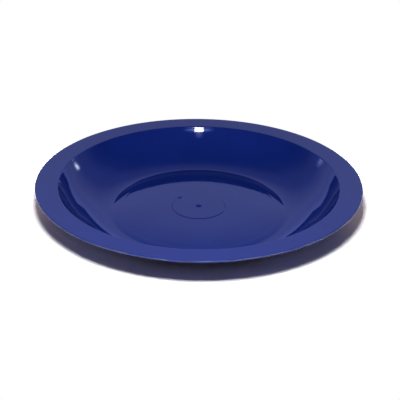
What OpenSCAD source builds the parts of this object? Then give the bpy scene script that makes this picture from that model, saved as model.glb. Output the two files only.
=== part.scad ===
// Round plastic deep plate, one injection moulding.
// A narrow rim falls slightly towards the well. The wall of the well runs down in hollow arcs to a ring
// trough over the foot ring. Inside the trough the floor rises over a ring step to a low crown with a
// level middle, where a disc left by the mould's insert and the mark of the gate stand.
// The origin is the middle of the base, where the foot ring stands on the table, with +Z up.

/* [Plate] */
// Diameter over the rim
plate_d = 220; // [200:1:250]
// Thickness of the moulded wall
wall_t = 2; // [1.6:0.1:2.6]

/* [Rim] */
// Width of the rim, from its outer edge to the break into the well
rim_w = 14.2; // [10:0.1:20]
// Slope of the rim, falling towards the well, in degrees
rim_slope = 5; // [0:0.5:8]
// Angle by which the rim thins out towards its edge, in degrees
rim_taper = 3; // [1:0.5:4]
// Thickness of the rim's rounded outer edge
edge_t = 1.2; // [0.8:0.1:1.6]
// Rounding of the break between rim and well
break_r = 1.1; // [0.6:0.1:2]
// Fillet under the rim, where it meets the outside of the well
under_r = 2; // [1:0.25:4]

/* [Wall of the well] */
// Slope of the wall under the break, in degrees
top_slope = 61; // [57:0.5:66]
// Radius of the nearly straight top of the wall
top_r = 70; // [45:1:90]
// Slope below the nearly straight top of the wall, in degrees
upper_slope = 55; // [50:0.5:58]
// Radius of the hollow upper part of the wall
upper_r = 38; // [30:0.5:44]
// Slope above the flatter middle of the wall, in degrees
mid_slope = 37.9; // [36:0.1:44]
// Radius of the flatter middle of the wall
middle_r = 79; // [60:1:120]
// Slope below the flatter middle of the wall, in degrees
low_slope = 33.6; // [28:0.1:36]
// Radius of the hollow foot of the wall
lower_r = 32.5; // [28:0.1:38]

/* [Floor of the well] */
// Slope where the wall comes out of the trough, in degrees
foot_slope = 2; // [1:0.5:10]
// Radius of the ring trough between wall and floor
trough_r = 9; // [6:0.5:20]
// Slope where the floor dips into the trough, in degrees
dip_slope = 8.6; // [6:0.1:10]
// Radius of the rounded edge of the floor
turn_r = 48; // [30:1:60]
// Slope of the narrow shelf outside the ring step, in degrees
shelf_slope = 2.6; // [1:0.1:5]
// Radius of the hollow foot of the ring step
step_foot_r = 14; // [8:0.5:24]
// Steepest slope of the ring step, in degrees
step_slope = 6.5; // [5.5:0.1:9]
// Radius of the rounded edge of the ring step
step_r = 13; // [8:0.5:24]
// Slope where the crown meets the ring step, in degrees
crown_slope = 4.1; // [2:0.1:5]
// Radius of the low crown around the level middle of the floor
crown_r = 320; // [200:5:380]

/* [Foot] */
// Width of the foot ring's face
foot_w = 2.6; // [1.6:0.1:3.6]
// Height of the foot ring
foot_h = 1.5; // [1:0.1:2.5]

/* [Moulding marks] */
// Diameter of the gate mark in the middle of the floor
gate_d = 4; // [2:0.5:6]
// Depth of the gate mark
gate_depth = 0.5; // [0.2:0.1:0.8]
// Diameter of the disc left by the mould's round insert
insert_d = 37; // [20:1:38]
// Height of that disc over the floor
insert_h = 0.2; // [0.05:0.05:0.3]
// Width of the disc's sloping edge
insert_w = 0.6; // [0.3:0.1:1]

/* [Hidden] */
plate_colour = [0.05, 0.12, 0.42];
turn_fn = 180;
// Largest turn between two points of a low arc, of a wall's arc and of a small rounding, in degrees
low_turn = 1.25;
wide_turn = 2.5;
small_turn = 8;

// The upper face is a chain of arcs from the level floor out to the rim, each running on from the last
// without a corner. A row holds an arc's radius, positive where the face is hollow and negative where
// it is crowned, the slope at the arc's outer end, and the turn between its points
arcs = [
    [-crown_r, -crown_slope, low_turn],
    [-step_r, -step_slope, low_turn],
    [step_foot_r, -shelf_slope, low_turn],
    [-turn_r, -dip_slope, low_turn],
    [trough_r, foot_slope, wide_turn],
    [lower_r, low_slope, wide_turn],
    [middle_r, mid_slope, wide_turn],
    [upper_r, upper_slope, wide_turn],
    [top_r, top_slope, wide_turn],
    [-break_r, rim_slope, small_turn]
];
trough = 4;
top = 8;
rim = 10;

// Unit vectors square to a face, upwards, and along it, outwards, at a given slope
function square_up(slope) = [-sin(slope), cos(slope)];
function along(slope) = [cos(slope), sin(slope)];
// Slope at the inner end of an arc
function slope_in(i) = i == 0 ? 0 : arcs[i - 1][1];
// Step from the inner end of an arc to its outer end
function arc_step(i) = arcs[i][0] * (square_up(slope_in(i)) - square_up(arcs[i][1]));
// Way from the edge of the level floor to the inner end of an arc
function way(i) = i == 0 ? [0, 0] : way(i - 1) + arc_step(i - 1);
// Points of an arc about c from slope a to slope b, without the last one
function arc_points(c, r, a, b, turn) =
    let (count = ceil(abs(b - a) / turn))
    [for (k = [0 : count - 1]) c - r * square_up(a + (b - a) * k / count)];

plate_r = plate_d / 2;
// The trough's lowest ring lies one wall's thickness above the root of the foot ring
trough_dip = trough_r * (1 - cos(dip_slope)) - way(trough)[1];
floor_z = foot_h + wall_t + trough_dip;
level_edge = [plate_r - rim_w - way(rim)[0], floor_z];

// Inner end of an arc on the upper and on the under face, and the centre that the two faces share
function knot(i) = level_edge + way(i);
function under_knot(i) = knot(i) - wall_t * square_up(slope_in(i));
function centre(i) = knot(i) + arcs[i][0] * square_up(slope_in(i));

// The rim's rounded edge touches the straight upper and under faces of the rim
lip_r = edge_t / 2;
under_slope = rim_slope + rim_taper;
rim_top_x = plate_r - lip_r * (1 + sin(rim_slope));
rim_top = [rim_top_x, knot(rim)[1] + (rim_top_x - knot(rim)[0]) * tan(rim_slope)];
lip = rim_top - lip_r * square_up(rim_slope);
rim_under = lip - lip_r * square_up(under_slope);

// The fillet under the rim touches the rim's under face and the outside of the wall's top arc
fillet_line = rim_under - under_r * square_up(under_slope) - centre(top);
fillet_reach = top_r + wall_t + under_r;
fillet_b = fillet_line * along(under_slope);
fillet_s = sqrt(fillet_b * fillet_b - fillet_line * fillet_line + fillet_reach * fillet_reach) - fillet_b;
fillet_c = centre(top) + fillet_line + fillet_s * along(under_slope);
fillet_slope = atan2(fillet_c[0] - centre(top)[0], centre(top)[1] - fillet_c[1]);

// The foot ring takes the place of the trough's under face, and its sides narrow to a flat face
foot_r = (under_knot(trough)[0] + under_knot(trough + 1)[0]) / 2;
foot_ring = [
    under_knot(trough + 1),
    [foot_r + foot_w / 2, 0],
    [foot_r - foot_w / 2, 0]
];

// The gate mark is a dimple pressed by a ball of this radius into the insert's disc
disc_z = floor_z + insert_h;
gate_r = (gate_d * gate_d / 4 + gate_depth * gate_depth) / (2 * gate_depth);
gate_c = [0, disc_z - gate_depth + gate_r];
gate_slope = asin(gate_d / 2 / gate_r);

// Upper face from the axis to the rim: the gate mark, the insert's disc and the chain of arcs
upper_face = concat(
    arc_points(gate_c, gate_r, 0, gate_slope, small_turn),
    [
        [gate_d / 2, disc_z],
        [(insert_d - insert_w) / 2, disc_z],
        [(insert_d + insert_w) / 2, floor_z]
    ],
    [
        for (i = [0 : rim - 1])
            each arc_points(centre(i), arcs[i][0], slope_in(i), arcs[i][1], arcs[i][2])
    ],
    [knot(rim)]);

// Rounded edge of the rim, from its upper face round to its under face
rim_edge = concat(
    arc_points(lip, -lip_r, rim_slope, under_slope - 180, 2 * small_turn),
    [rim_under]);

// Under face of an arc, one wall's thickness from the upper face, from its outer end inwards
function under_arc(i) =
    let (outer_slope = i == top ? fillet_slope : arcs[i][1])
    arc_points(centre(i), arcs[i][0] + wall_t, outer_slope, slope_in(i), arcs[i][2]);

// Under face from the fillet back to the axis
under_face = concat(
    arc_points(fillet_c, -under_r, under_slope, fillet_slope, small_turn),
    [for (i = [top : -1 : 0]) each i == trough ? foot_ring : under_arc(i)],
    [under_knot(0), [0, floor_z - wall_t]]);

module plate() {
    color(plate_colour)
        rotate_extrude($fn = turn_fn)
            polygon(concat(upper_face, rim_edge, under_face));
}

plate();
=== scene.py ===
import math

import bpy
import numpy as np
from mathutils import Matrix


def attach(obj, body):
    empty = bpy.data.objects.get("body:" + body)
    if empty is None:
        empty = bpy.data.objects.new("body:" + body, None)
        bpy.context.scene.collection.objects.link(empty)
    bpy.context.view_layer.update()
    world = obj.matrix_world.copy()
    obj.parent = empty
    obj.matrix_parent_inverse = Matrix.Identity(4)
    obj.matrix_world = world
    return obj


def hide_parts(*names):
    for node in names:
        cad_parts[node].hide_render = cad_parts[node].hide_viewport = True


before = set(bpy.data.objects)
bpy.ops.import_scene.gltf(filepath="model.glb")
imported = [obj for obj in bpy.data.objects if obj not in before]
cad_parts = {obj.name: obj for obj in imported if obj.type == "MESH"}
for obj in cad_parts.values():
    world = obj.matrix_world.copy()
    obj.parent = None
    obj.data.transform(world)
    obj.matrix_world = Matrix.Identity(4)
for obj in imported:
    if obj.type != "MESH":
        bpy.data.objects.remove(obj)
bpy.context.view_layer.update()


# The plate is one injection moulding in glossy dark-blue plastic, a body of revolution. A narrow rim falls
# towards the well, whose wall runs down in hollow arcs to a ring trough, and inside the trough the floor
# rises over a ring step to a low crown. It stands on the flat face of a foot ring under the trough.
PLATE_R = 0.110
RIM_W = 0.0142
RIM_SLOPE = math.radians(5)
UNDER_SLOPE = math.radians(8)
LIP_R = 0.0006
WALL_T = 0.0020
UNDER_R = 0.0020
FOOT_H = 0.0015
FOOT_W = 0.0026
# Arcs of the upper face from the level floor out to the rim: radius, positive where the face is hollow
# and negative where it is crowned, slope at the outer end, and number of points
ARC_R = np.array([-0.320, -0.013, 0.014, -0.048, 0.009, 0.0325, 0.079, 0.038, 0.070, -0.0011])
ARC_SLOPE = np.radians([-4.1, -6.5, -2.6, -8.6, 2, 33.6, 37.9, 55, 61, 5])
ARC_POINTS = [10, 6, 6, 10, 14, 26, 6, 18, 9, 16]
# Which of the arcs are the trough and the nearly straight top of the wall
TROUGH = 4
TOP = 8


def square_up(slope):
    """Unit vector square to a face of the given slope, in the half-plane of radius and height:
    minus the sine and the cosine of the slope."""
    return np.stack([-np.sin(slope), np.cos(slope)], axis=-1)


def arc(centre, radius, start, end, points):
    """Points of an arc without the last one: the centre less the radius times the vector square to the
    face, while the slope goes evenly from start to end."""
    return (centre - radius * square_up(np.linspace(start, end, points)))[:-1]


def line(start, end, points):
    """Points spread evenly on a straight line, without the last one."""
    return np.linspace(start, end, points)[:-1]


# Every arc begins where the last one ends, with the same slope. The trough's lowest ring lies one wall's
# thickness above the root of the foot ring, and the last arc ends at the inner edge of the rim.
slope_in = np.concatenate([[0], ARC_SLOPE[:-1]])
step = ARC_R[:, None] * (square_up(slope_in) - square_up(ARC_SLOPE))
way = np.concatenate([np.zeros((1, 2)), np.cumsum(step, axis=0)])
trough_dip = ARC_R[TROUGH] * (1 - math.cos(slope_in[TROUGH])) - way[TROUGH, 1]
floor_z = FOOT_H + WALL_T + trough_dip
knot = way + [PLATE_R - RIM_W - way[-1, 0], floor_z]
centre = knot[:-1] + ARC_R[:, None] * square_up(slope_in)
under_knot = knot[:-1] - WALL_T * square_up(slope_in)
upper = [arc(centre[i], ARC_R[i], slope_in[i], ARC_SLOPE[i], ARC_POINTS[i]) for i in range(len(ARC_R))]

# The rim's edge is a half round that touches both faces of the rim
RIM_POINTS = 8
LIP_POINTS = 17
rim_top_x = PLATE_R - LIP_R - LIP_R * math.sin(RIM_SLOPE)
rim_top = np.array([rim_top_x, knot[-1, 1] + (rim_top_x - knot[-1, 0]) * math.tan(RIM_SLOPE)])
lip = rim_top - LIP_R * square_up(RIM_SLOPE)
rim_under = lip - LIP_R * square_up(UNDER_SLOPE)

# The fillet under the rim touches the rim's under face and the outside of the wall's top arc: its centre
# lies on a line beside the under face, at a known reach from that arc's centre
UNDER_RIM_POINTS = 5
FILLET_POINTS = 14
outwards = np.array([math.cos(UNDER_SLOPE), math.sin(UNDER_SLOPE)])
beside = rim_under - UNDER_R * square_up(UNDER_SLOPE) - centre[TOP]
reach = ARC_R[TOP] + WALL_T + UNDER_R
along = beside @ outwards
from_top = beside + outwards * (math.sqrt(along**2 - beside @ beside + reach**2) - along)
fillet_slope = math.atan2(from_top[0], -from_top[1])
fillet = from_top + centre[TOP]

# The under face follows the upper one at the wall's thickness, and the foot ring takes the trough's place
BASE_POINTS = 4
under_end = ARC_SLOPE.copy()
under_end[TOP] = fillet_slope
foot_r = (under_knot[TROUGH, 0] + under_knot[TROUGH + 1, 0]) / 2
under = [
    arc(centre[i], ARC_R[i] + WALL_T, under_end[i], slope_in[i], ARC_POINTS[i]) if i != TROUGH
    else np.array([under_knot[TROUGH + 1], [foot_r + FOOT_W / 2, 0], [foot_r - FOOT_W / 2, 0]])
    for i in range(TOP, -1, -1)
]
base_middle = [0, floor_z - WALL_T]

# Marks of the mould in the level floor: the scar of the gate in the middle, which is a little oval and
# ragged, and the disc of a round insert, which stands a hair higher and has a short nick in its edge
GATE_R = 0.0021
GATE_DEPTH = 0.0002
SCAR_OVAL = 0.05
SCAR_RAGGED = 0.04
INSERT_R = 0.0185
INSERT_STEP = 0.0003
INSERT_SIDE = 0.0005
NICK_R = 0.0184
NICK_ANGLE = math.radians(137)
NICK_LENGTH = 0.0017
NICK_WIDTH = 0.0008
NICK_DEPTH = 0.0005
# Rings of the level floor, close together at the marks: radius, and number of points up to the next ring
FLOOR_RINGS = [
    (0, 14),
    (1.2 * GATE_R, 5),
    (NICK_R - 2 * NICK_WIDTH, 9),
    (INSERT_R - INSERT_SIDE, 13),
    (INSERT_R + INSERT_SIDE, 7),
    (NICK_R + 2 * NICK_WIDTH, 5),
]
next_rings = [radius for radius, _ in FLOOR_RINGS[1:]] + [knot[0, 0]]
level_floor = [
    line([radius, floor_z], [next_radius, floor_z], points)
    for (radius, points), next_radius in zip(FLOOR_RINGS, next_rings)
]

profile = np.concatenate([
    *level_floor,
    *upper,
    line(knot[-1], rim_top, RIM_POINTS),
    arc(lip, -LIP_R, RIM_SLOPE, UNDER_SLOPE - math.pi, LIP_POINTS),
    line(rim_under, fillet + UNDER_R * square_up(UNDER_SLOPE), UNDER_RIM_POINTS),
    arc(fillet, -UNDER_R, UNDER_SLOPE, fillet_slope, FILLET_POINTS),
    *under,
    line(under_knot[0], base_middle, BASE_POINTS),
    [base_middle],
])


def smooth_step(x):
    """Ramp from 0 to 1 between 0 and 1, level at both ends: 3 x squared less 2 x cubed."""
    x = np.clip(x, 0, 1)
    return x * x * (3 - 2 * x)


def mould_marks(radius, angle):
    """Height of the mould's marks over the level floor: the insert's disc, less the gate's scar, a low
    hollow whose outline wavers with sines of the angle, and less the nick, a bell along and across."""
    disc = INSERT_STEP * smooth_step((INSERT_R + INSERT_SIDE / 2 - radius) / INSERT_SIDE)
    outline = GATE_R * (1 + SCAR_OVAL * np.sin(2 * angle + 0.6) + SCAR_RAGGED * np.sin(5 * angle))
    scar = GATE_DEPTH * np.clip(1 - (radius / outline)**2, 0, 1)
    nick_way = radius * (angle - NICK_ANGLE) / NICK_LENGTH
    nick = NICK_DEPTH * np.exp(-nick_way**2 - ((radius - NICK_R) / NICK_WIDTH)**2)
    return disc - scar - nick


def revolve(profile, turns):
    """Surface of revolution on a grid of turn and profile point: the point's radius times the cosine and
    sine of the turn, and its height, with the marks added to the upper face. Both ends of the profile lie
    on the axis and are single points."""
    angle = np.linspace(0, 2 * math.pi, turns, endpoint=False)[:, None]
    radius, height = profile[1:-1, 0], profile[1:-1, 1]
    on_top = np.arange(len(radius)) < radius.argmax()
    height = height + on_top * mould_marks(radius, angle)
    grid = np.stack([radius * np.cos(angle), radius * np.sin(angle), height], axis=-1)
    top_end = [0, 0, profile[0, 1] + mould_marks(0, 0)]
    base_end = [0, 0, profile[-1, 1]]
    points = np.concatenate([grid.reshape(-1, 3), [top_end, base_end]])
    count = len(radius)
    ring = np.arange(turns) * count
    after = np.roll(ring, -1)
    here = ring[:, None] + np.arange(count - 1)
    there = after[:, None] + np.arange(count - 1)
    bands = np.stack([here, here + 1, there + 1, there], axis=-1).reshape(-1, 4)
    middle = np.stack([np.full(turns, turns * count), ring, after], axis=-1)
    base = np.stack([np.full(turns, turns * count + 1), after + count - 1, ring + count - 1], axis=-1)
    return points, bands.tolist() + middle.tolist() + base.tolist()


TURNS = 320
plate_mesh = bpy.data.meshes.new("plate_shell")
points, faces = revolve(profile, TURNS)
plate_mesh.from_pydata(points.tolist(), [], faces)
plate_mesh.polygons.foreach_set("use_smooth", np.ones(len(faces), dtype=bool))
plate_mesh.update()
plate = bpy.data.objects.new("plate_shell", plate_mesh)
bpy.context.scene.collection.objects.link(plate)
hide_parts("plate")
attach(plate, "root")


def new_node(tree, kind, inputs=(), **settings):
    """Adds a node to a tree, sets its properties, and fills its inputs with values or links."""
    node = tree.nodes.new("ShaderNode" + kind)
    for name, value in settings.items():
        setattr(node, name, value)
    for key, value in dict(inputs).items():
        if isinstance(value, bpy.types.NodeSocket):
            tree.links.new(value, node.inputs[key])
        else:
            node.inputs[key].default_value = value
    return node


def calculate(tree, operation, *values, **settings):
    """Result of a calculation with one to three values or links."""
    node = new_node(tree, "Math", dict(enumerate(values)), operation=operation, **settings)
    return node.outputs["Value"]


def remap(tree, value, start, end, low=0.0, high=1.0):
    """A value carried evenly from the range start to end to the range low to high, and held at its ends."""
    limits = {"From Min": start, "From Max": end, "To Min": low, "To Max": high}
    return new_node(tree, "MapRange", {"Value": value, **limits}).outputs["Result"]


def noise(tree, vector, scale, detail, roughness=0.5):
    """Level of a noise pattern, of that scale in spots to the metre and that many finer layers."""
    inputs = {"Vector": vector, "Scale": scale, "Detail": detail, "Roughness": roughness}
    return new_node(tree, "TexNoise", inputs).outputs["Fac"]


def colour_ramp(tree, value, stops, blend="LINEAR"):
    """Colour by a value, on a ramp through stops of position and colour, in rising order."""
    node = new_node(tree, "ValToRGB", {"Fac": value})
    ramp = node.color_ramp
    ramp.interpolation = blend
    for element, (position, colour) in zip(ramp.elements, (stops[0], stops[-1])):
        element.position = position
        element.color = colour
    for position, colour in stops[1:-1]:
        ramp.elements.new(position).color = colour
    return node.outputs["Color"]


def cover(tree, share, colour, over):
    """A colour covered by another to the given share. A Mix node has its colours in sockets 6 and 7."""
    return new_node(tree, "Mix", {0: share, 6: colour, 7: over}, data_type="RGBA").outputs[2]


blue_plastic = bpy.data.materials.new("glossy_blue_plastic")
blue_plastic.use_nodes = True
tree = blue_plastic.node_tree
tree.nodes.clear()
place = new_node(tree, "TexCoord").outputs["Object"]
flat_place = new_node(tree, "VectorMath", {0: place, 1: (1, 1, 0)}, operation="MULTIPLY").outputs["Vector"]
from_axis = new_node(tree, "VectorMath", {0: flat_place}, operation="LENGTH").outputs["Value"]
height = new_node(tree, "SeparateXYZ", {0: place}).outputs["Z"]

# The pigment is mixed a little unevenly
DEEP_BLUE = (0.0035, 0.0115, 0.109, 1)
PALER_BLUE = (0.0039, 0.0127, 0.121, 1)
clouds = noise(tree, place, scale=38, detail=3)
colour = colour_ramp(tree, clouds, [(0.35, DEEP_BLUE), (0.65, PALER_BLUE)])

# A painted highlight lies in patches on the rim's edge, in a narrow band just below its upper face: a pale
# grey that stands in for the lamp's glint along the edge. The limits of the band, from nothing to full, lie
# inside the rim's outline and over the middle of its half round.
LIP_GLINT_COLOUR = (0.20, 0.22, 0.28, 1)
BAND_INSIDE = (0.0010, 0.0004)
BAND_TOP = (0.00050, 0.00030)
BAND_FOOT = (0.00015, 0.00035)
glint_patches = remap(tree, noise(tree, place, scale=90, detail=4), start=0.42, end=0.66, low=0.25)
lip_glint_share = remap(tree, from_axis, PLATE_R - BAND_INSIDE[0], PLATE_R - BAND_INSIDE[1])
below_top = remap(tree, height, lip[1] + BAND_TOP[0], lip[1] + BAND_TOP[1])
above_foot = remap(tree, height, lip[1] + BAND_FOOT[0], lip[1] + BAND_FOOT[1])
for limit in (below_top, above_foot, glint_patches):
    lip_glint_share = calculate(tree, "MULTIPLY", lip_glint_share, limit)
# The rim's edge takes the pale grey of the painted highlight wherever the band and its patches reach
colour = cover(tree, lip_glint_share, colour, LIP_GLINT_COLOUR)

# Painted shade darkens the colour in a thin ring in the corner around the insert's disc, where shade falls
CORNER_SHADE_COLOUR = (0.002, 0.004, 0.02, 1)
CORNER_SHADE_R = INSERT_R + 0.0001
CORNER_SHADE_REACH = 0.0002
CORNER_SHADE_SHARE = 0.6
in_corner = calculate(tree, "COMPARE", from_axis, CORNER_SHADE_R, CORNER_SHADE_REACH)
colour = cover(tree, calculate(tree, "MULTIPLY", in_corner, CORNER_SHADE_SHARE), colour, CORNER_SHADE_COLOUR)

# Use has left sparse hairline scratches, in two directions, which are long and thin noise cut off near its
# highest level
SCRATCH_TURNS = (0.5, 2.1)
SCRATCH_SCALE = (24, 1300, 60)
hairlines = []
for turn in SCRATCH_TURNS:
    turned = {"Vector": place, "Rotation": (0, 0, turn), "Scale": SCRATCH_SCALE}
    lengthways = new_node(tree, "Mapping", turned).outputs["Vector"]
    hairlines.append(remap(tree, noise(tree, lengthways, scale=1, detail=1), start=0.70, end=0.78))
scratches = calculate(tree, "MAXIMUM", *hairlines)

# The skin has the faint waviness of moulded plastic, and the scratches lie a hair deeper
peel = noise(tree, place, scale=260, detail=2)
wavy = new_node(tree, "Bump", {"Height": peel, "Strength": 0.02, "Distance": 0.0004}).outputs["Normal"]
scratched = {"Height": scratches, "Strength": 0.03, "Distance": 0.0001, "Normal": wavy}
skin = new_node(tree, "Bump", scratched, invert=True).outputs["Normal"]

# The gloss is a little uneven, duller in the scratches and along the worn edge, and the gate's scar is matt.
# The wear begins and is full inside the rim's outline, and the matt scar fades out across its own.
WEAR_INSIDE = (0.0012, 0.0003)
SCAR_FADE = (-0.0002, 0.0003)
haze = noise(tree, place, scale=70, detail=5, roughness=0.6)
dullness = remap(tree, haze, start=0.3, end=0.75, low=0.035, high=0.075)
scuffs = remap(tree, scratches, start=0, end=1, high=0.09)
edge_wear = remap(tree, from_axis, PLATE_R - WEAR_INSIDE[0], PLATE_R - WEAR_INSIDE[1], high=0.10)
matt_scar = remap(tree, from_axis, GATE_R + SCAR_FADE[0], GATE_R + SCAR_FADE[1], low=0.75, high=0)
for extra in (scuffs, edge_wear, matt_scar):
    dullness = calculate(tree, "ADD", dullness, extra)
shader = new_node(tree, "BsdfPrincipled", {
    "Base Color": colour,
    "Roughness": dullness,
    "IOR": 1.5,
    "Normal": skin,
})
new_node(tree, "OutputMaterial", {"Surface": shader.outputs["BSDF"]})
plate_mesh.materials.append(blue_plastic)


# The key lamp is a small soft box close above the camera, which throws the plate's shadow back under the
# rim. Panels over it and strips behind the table are mirrored in the well and light no matt surface. The
# key lamp and a weak warm lamp behind the table light matt surfaces alone.
def soft_box(name, at, aim, width, height, radiance, colour=(1, 1, 1)):
    """A rectangular lamp that faces a point: its power is the radiance times pi times its area."""
    light = bpy.data.lights.new(name, "AREA")
    light.shape = "RECTANGLE"
    light.size = width
    light.size_y = height
    light.energy = radiance * math.pi * width * height
    light.color = colour
    lamp = bpy.data.objects.new(name, light)
    lamp.location = at
    x, y, z = np.subtract(aim, at)
    lamp.rotation_euler = (math.atan2(math.hypot(x, y), -z), 0, math.atan2(-x, y))
    lamp.visible_camera = False
    bpy.context.scene.collection.objects.link(lamp)
    return lamp


def distance(tree, place, point):
    """Straight distance from a place to a point."""
    return new_node(tree, "VectorMath", {0: place, 1: point}, operation="DISTANCE").outputs["Value"]


def fade(lamp, core, glow):
    """Lets a lamp's face fade from its middle: full out to the share core of the way to the edge, down to
    the level glow after a third of the rest, and to nothing at the edge."""
    lamp.data.use_nodes = True
    tree = lamp.data.node_tree
    tree.nodes.clear()
    on_face = new_node(tree, "NewGeometry").outputs["Parametric"]
    to_edge = remap(tree, distance(tree, on_face, (0.5, 0.5, 0)), start=0, end=0.5)
    stops = [(core, (1, 1, 1, 1)), ((1 + 2 * core) / 3, (glow, glow, glow, 1)), (1, (0, 0, 0, 1))]
    level = colour_ramp(tree, to_edge, stops, blend="EASE")
    shine = new_node(tree, "Emission", {"Strength": level}).outputs["Emission"]
    new_node(tree, "OutputLight", {"Surface": shine})


KEY_AT = (-0.0075, -0.3220, 0.2900)
key_lamp = soft_box("key_lamp", KEY_AT, aim=(0, 0, 0.020), width=0.055, height=0.032, radiance=470)
key_lamp.visible_glossy = False

# The panel makes the white patch at the top of the far wall, and two larger ones the bluish glare around it
PANEL_AT = (0.004, -0.2890, 0.3464)
PANEL_AIM = (0, 0.094, 0.025)
GLARE = (0.30, 0.42, 1.0)
top_panel = soft_box("top_panel", PANEL_AT, PANEL_AIM, width=0.052, height=0.0315, radiance=36)
side_glare = soft_box(
    "side_glare", PANEL_AT, PANEL_AIM, width=0.200, height=0.040, radiance=20, colour=GLARE)
upper_glare = soft_box(
    "upper_glare", PANEL_AT, PANEL_AIM, width=0.060, height=0.240, radiance=20, colour=GLARE)
fade(side_glare, core=0.05, glow=0.28)
fade(upper_glare, core=0.08, glow=0.12)

# The strip on the right makes the streak on the left of the wall, and the one on the left that on the right
right_strip = soft_box(
    "right_strip", (0.517, 0.520, 0.209), aim=(-0.088, 0.030, 0.022), width=0.085, height=0.115,
    radiance=10, colour=(0.65, 0.75, 1))
left_strip = soft_box(
    "left_strip", (-0.566, 0.455, 0.197), aim=(0.088, 0.030, 0.022), width=0.110, height=0.140,
    radiance=2.8, colour=(0.40, 0.50, 1))
fade(right_strip, core=0.30, glow=0.3)
fade(left_strip, core=0.20, glow=0.4)
for panel in (top_panel, side_glare, upper_glare, right_strip, left_strip):
    panel.visible_diffuse = False

back_lamp = soft_box(
    "back_lamp", (0.06, 0.70, 0.28), aim=(0, 0, 0), width=0.300, height=0.100,
    radiance=8, colour=(1, 0.80, 0.79))
back_lamp.visible_glossy = False


# The table is plain white and spreads past the picture on all sides. It takes the lamp's shadow around the
# plate, and further out it is even white to the camera and in reflections.
TABLE_HALF = 6.0
table_mesh = bpy.data.meshes.new("table")
table_corners = np.array([(-1, -1, 0), (1, -1, 0), (1, 1, 0), (-1, 1, 0)]) * TABLE_HALF
table_mesh.from_pydata(table_corners.tolist(), [], [(0, 1, 2, 3)])
table = bpy.data.objects.new("table", table_mesh)
bpy.context.scene.collection.objects.link(table)

# The key lamp's light on the table falls off about with the cube of the distance, so the colour rises with
# that, and the table is as white near the plate as it is past the circle in which the shadow lies
EVEN_WHITE = 20.5
SHADOW_MIDDLE = (0, 0.036, 0)
SHADOW_R = 0.132
WHITE_R = 0.141
PALE = (0.8, 0.8, 0.8, 1)
WHITE = (1, 1, 1, 1)
white_table = bpy.data.materials.new("white_table")
white_table.use_nodes = True
tree = white_table.node_tree
tree.nodes.clear()
spot = new_node(tree, "NewGeometry").outputs["Position"]
fall_off = calculate(tree, "POWER", distance(tree, spot, KEY_AT), 3)
even = calculate(tree, "MULTIPLY", fall_off, EVEN_WHITE)
around = new_node(tree, "BsdfDiffuse", {"Color": even}).outputs["BSDF"]
beyond = new_node(tree, "Emission", {"Color": WHITE, "Strength": 1}).outputs["Emission"]
past_shadow = remap(tree, distance(tree, spot, SHADOW_MIDDLE), SHADOW_R, WHITE_R)
seen = new_node(tree, "MixShader", {0: past_shadow, 1: around, 2: beyond}).outputs["Shader"]
path = new_node(tree, "LightPath").outputs
mirror_ray = calculate(tree, "ADD", path["Is Glossy Ray"], path["Is Transmission Ray"])
looked_at = calculate(tree, "ADD", path["Is Camera Ray"], mirror_ray, use_clamp=True)
pale = new_node(tree, "BsdfDiffuse", {"Color": PALE}).outputs["BSDF"]
both = new_node(tree, "MixShader", {0: looked_at, 1: pale, 2: seen}).outputs["Shader"]
new_node(tree, "OutputMaterial", {"Surface": both})
table_mesh.materials.append(white_table)


# The room is dark overhead, with a wide pale bluish wall behind the table, which the glossy well mirrors.
# Matt surfaces get a soft light from above in front, and past the table the camera sees white.
FRONT_HORIZON = (0.09, 0.12, 0.62, 1)
BACK_HORIZON = (0.40, 0.44, 1.12, 1)
GREEN_TO_GREY = 1.16
# Place from the front horizon over the zenith to the back horizon, and level of grey and of blue
ROOM_LEVELS = (
    (0.35, 0.02, 0.32), (0.54, 0.00, 0.05), (0.60, 0.05, 0.17), (0.66, 0.17, 0.52), (0.71, 0.19, 0.66),
    (0.75, 0.30, 0.84), (0.81, 0.39, 1.00), (0.845, 0.32, 0.97), (0.88, 0.36, 1.08), (0.91, 0.36, 1.12),
)
room = bpy.data.worlds.new("room")
bpy.context.scene.world = room
room.use_nodes = True
tree = room.node_tree
tree.nodes.clear()
direction = new_node(tree, "TexCoord").outputs["Generated"]
parts = new_node(tree, "SeparateXYZ", {0: direction}).outputs
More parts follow.
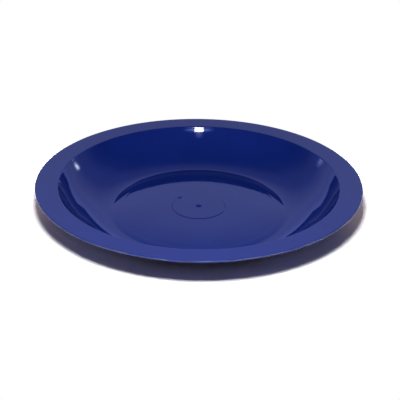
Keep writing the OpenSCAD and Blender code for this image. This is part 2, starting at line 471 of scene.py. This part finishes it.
# The place is read off a flat map of the sky: the way back over 1 plus the way up
behind = calculate(tree, "DIVIDE", parts["Y"], calculate(tree, "ADD", parts["Z"], 1))
levels = [(at, (grey, grey * GREEN_TO_GREY, blue, 1)) for at, grey, blue in ROOM_LEVELS]
room_stops = [(0, FRONT_HORIZON), *levels, (1, BACK_HORIZON)]
room_colour = colour_ramp(tree, remap(tree, behind, start=-1, end=1), room_stops)
mirrored = new_node(tree, "Background", {"Color": room_colour}).outputs["Background"]

# The soft light for matt surfaces is a round patch, which fades from its middle
PATCH_WAY = (-0.12, -0.64, 0.76)
PATCH_EDGE = (0.02, 0.02, 0.02, 1)
PATCH_MIDDLE = (0.39, 0.30, 0.36, 1)
to_patch = new_node(tree, "VectorMath", {0: direction, 1: PATCH_WAY}, operation="DOT_PRODUCT")
patch_colour = colour_ramp(tree, to_patch.outputs["Value"], [(0.84, PATCH_EDGE), (1, PATCH_MIDDLE)])
ambient = new_node(tree, "Background", {"Color": patch_colour}).outputs["Background"]

path = new_node(tree, "LightPath").outputs
no_matt_bounce = calculate(tree, "LESS_THAN", path["Diffuse Depth"], 0.5)
in_gloss = calculate(tree, "MULTIPLY", path["Is Glossy Ray"], no_matt_bounce)
lit = new_node(tree, "MixShader", {0: in_gloss, 1: ambient, 2: mirrored}).outputs["Shader"]
straight = calculate(tree, "ADD", path["Is Camera Ray"], path["Is Transmission Ray"], use_clamp=True)
white = new_node(tree, "Background", {"Color": WHITE}).outputs["Background"]
seen = new_node(tree, "MixShader", {0: straight, 1: lit, 2: white}).outputs["Shader"]
new_node(tree, "OutputWorld", {"Surface": seen})


# The camera stands 0.45 m in front of the plate's axis and 0.24 m over the table. It looks down by 27 degrees
# and is rolled by less than one.
camera_lens = bpy.data.cameras.new("camera")
camera_lens.sensor_width = 36
camera_lens.lens = 65.19
camera_lens.clip_start = 0.01
camera = bpy.data.objects.new("camera", camera_lens)
camera.location = (0, -0.4482, 0.2387)
camera.rotation_euler = (math.radians(62.959), math.radians(-0.626), math.radians(0.212))
bpy.context.scene.collection.objects.link(camera)
bpy.context.scene.camera = camera
bpy.context.scene.view_settings.view_transform = "Standard"
